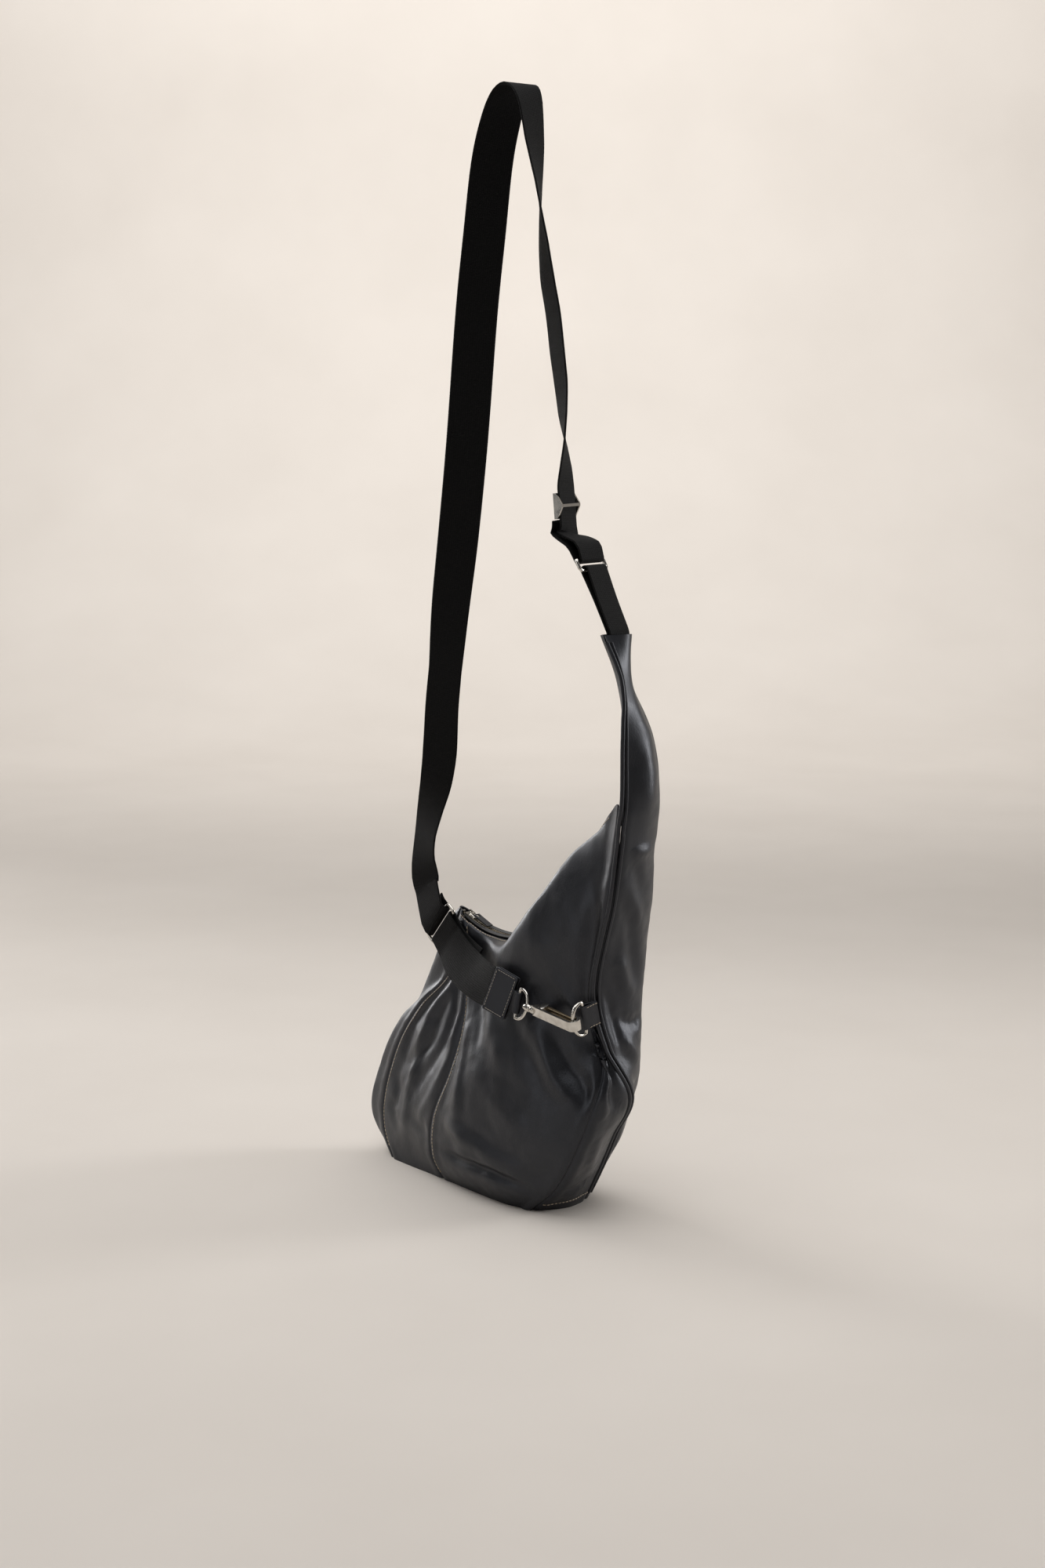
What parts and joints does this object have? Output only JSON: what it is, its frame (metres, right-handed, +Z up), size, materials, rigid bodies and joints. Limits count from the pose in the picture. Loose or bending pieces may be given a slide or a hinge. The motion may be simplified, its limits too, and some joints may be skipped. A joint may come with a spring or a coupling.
{
  "type": "shoulder bag",
  "caption": "Slouchy asymmetric leather shoulder bag with a webbing strap, a curved top zip and a swivel snap hook clipped to a D-ring.",
  "frame": {"origin": "on the floor, under the middle of the base", "axes": "+X towards the tall horn, -Y is the front with the snap hook, +Z up towards the top of the strap"},
  "size_m": [0.3658, 0.118, 0.9977],
  "materials": {
    "shell_leather": "soft full-grain leather, low sheen",
    "trim_leather": "thin facing leather",
    "webbing": "ribbed matte webbing",
    "lining_cloth": "plain woven cotton",
    "zip_tape": "woven tape",
    "nickel": "polished nickel plate",
    "antique_brass": "darkened brass",
    "board": "stiff base board"
  },
  "bodies": {
    "bag": {"front_panel": "shell_leather", "back_panel": "shell_leather", "left_gusset": "shell_leather", "right_gusset": "shell_leather", "bottom_panel": "shell_leather", "horn_facing": "shell_leather", "piping": "trim_leather", "base_board": "board", "lining": "lining_cloth", "inner_pocket": "lining_cloth", "zip_teeth_front": "antique_brass", "zip_teeth_back": "antique_brass", "zip_tape_front": "zip_tape", "zip_tape_back": "zip_tape", "zip_top_stop": "nickel", "zip_end_stop": "nickel", "strap_webbing": "webbing", "horn_webbing_loop": "webbing", "front_band": "webbing", "end_tab_front": "trim_leather", "end_tab_back": "trim_leather", "hook_loop": "trim_leather", "hook_eye": "nickel", "d_ring_loop": "trim_leather"},
    "zip_slider": {"zip_slider": "nickel"},
    "zip_pull": {"zip_pull_ring": "nickel", "zip_pull_tab": "trim_leather"},
    "left_ring": {"left_ring": "nickel"},
    "upper_ring": {"upper_ring": "nickel"},
    "tri_glide": {"tri_glide": "nickel"},
    "d_ring": {"d_ring": "nickel"},
    "hook": {"swivel_post": "nickel", "hook_body": "nickel", "gate_pin": "nickel", "gate_spring": "nickel"},
    "gate": {"hook_gate": "antique_brass"}
  },
  "joints": [
    {"name": "zip_travel", "type": "hinge", "parent": "bag", "child": "zip_slider", "pos_m": [0.02, 0.008, 0.356], "axis": [0, -1, 0], "range_deg": [0, 33]},
    {"name": "pull_flip", "type": "hinge", "parent": "zip_slider", "child": "zip_pull", "pos_m": [-0.02929, 0.008, 0.25049], "axis": [0, -1, 0], "range_deg": [0, 110]},
    {"name": "left_ring_tilt", "type": "hinge", "parent": "bag", "child": "left_ring", "pos_m": [-0.057, -0.005, 0.238], "axis": [-0.6359, 0, -0.7718], "range_deg": [-5, 5]},
    {"name": "upper_ring_tilt", "type": "hinge", "parent": "bag", "child": "upper_ring", "pos_m": [0.131, 0, 0.582], "axis": [-0.2, 0.9798, 0], "range_deg": [-5, 5]},
    {"name": "glide_adjust", "type": "slide", "parent": "bag", "child": "tri_glide", "axis": [0.0995, 0, -0.995], "range_m": [-0.005, 0.005]},
    {"name": "d_ring_swing", "type": "hinge", "parent": "bag", "child": "d_ring", "pos_m": [0.15881, -0.03649, 0.18839], "axis": [0.0742, -0.3083, 0.9484], "range_deg": [-3, 3]},
    {"name": "hook_swivel", "type": "hinge", "parent": "bag", "child": "hook", "pos_m": [0.10617, -0.04804, 0.18876], "axis": [0.9889, -0.0999, -0.1099], "range_deg": [-8, 8]},
    {"name": "gate_open", "type": "hinge", "parent": "hook", "child": "gate", "pos_m": [0.11803, -0.04195, 0.18981], "axis": [-0.0742, 0.3083, -0.9484], "range_deg": [0, 8], "stiffness_Nm_per_rad": 0.05, "springref_deg": -11.46}
  ]
}
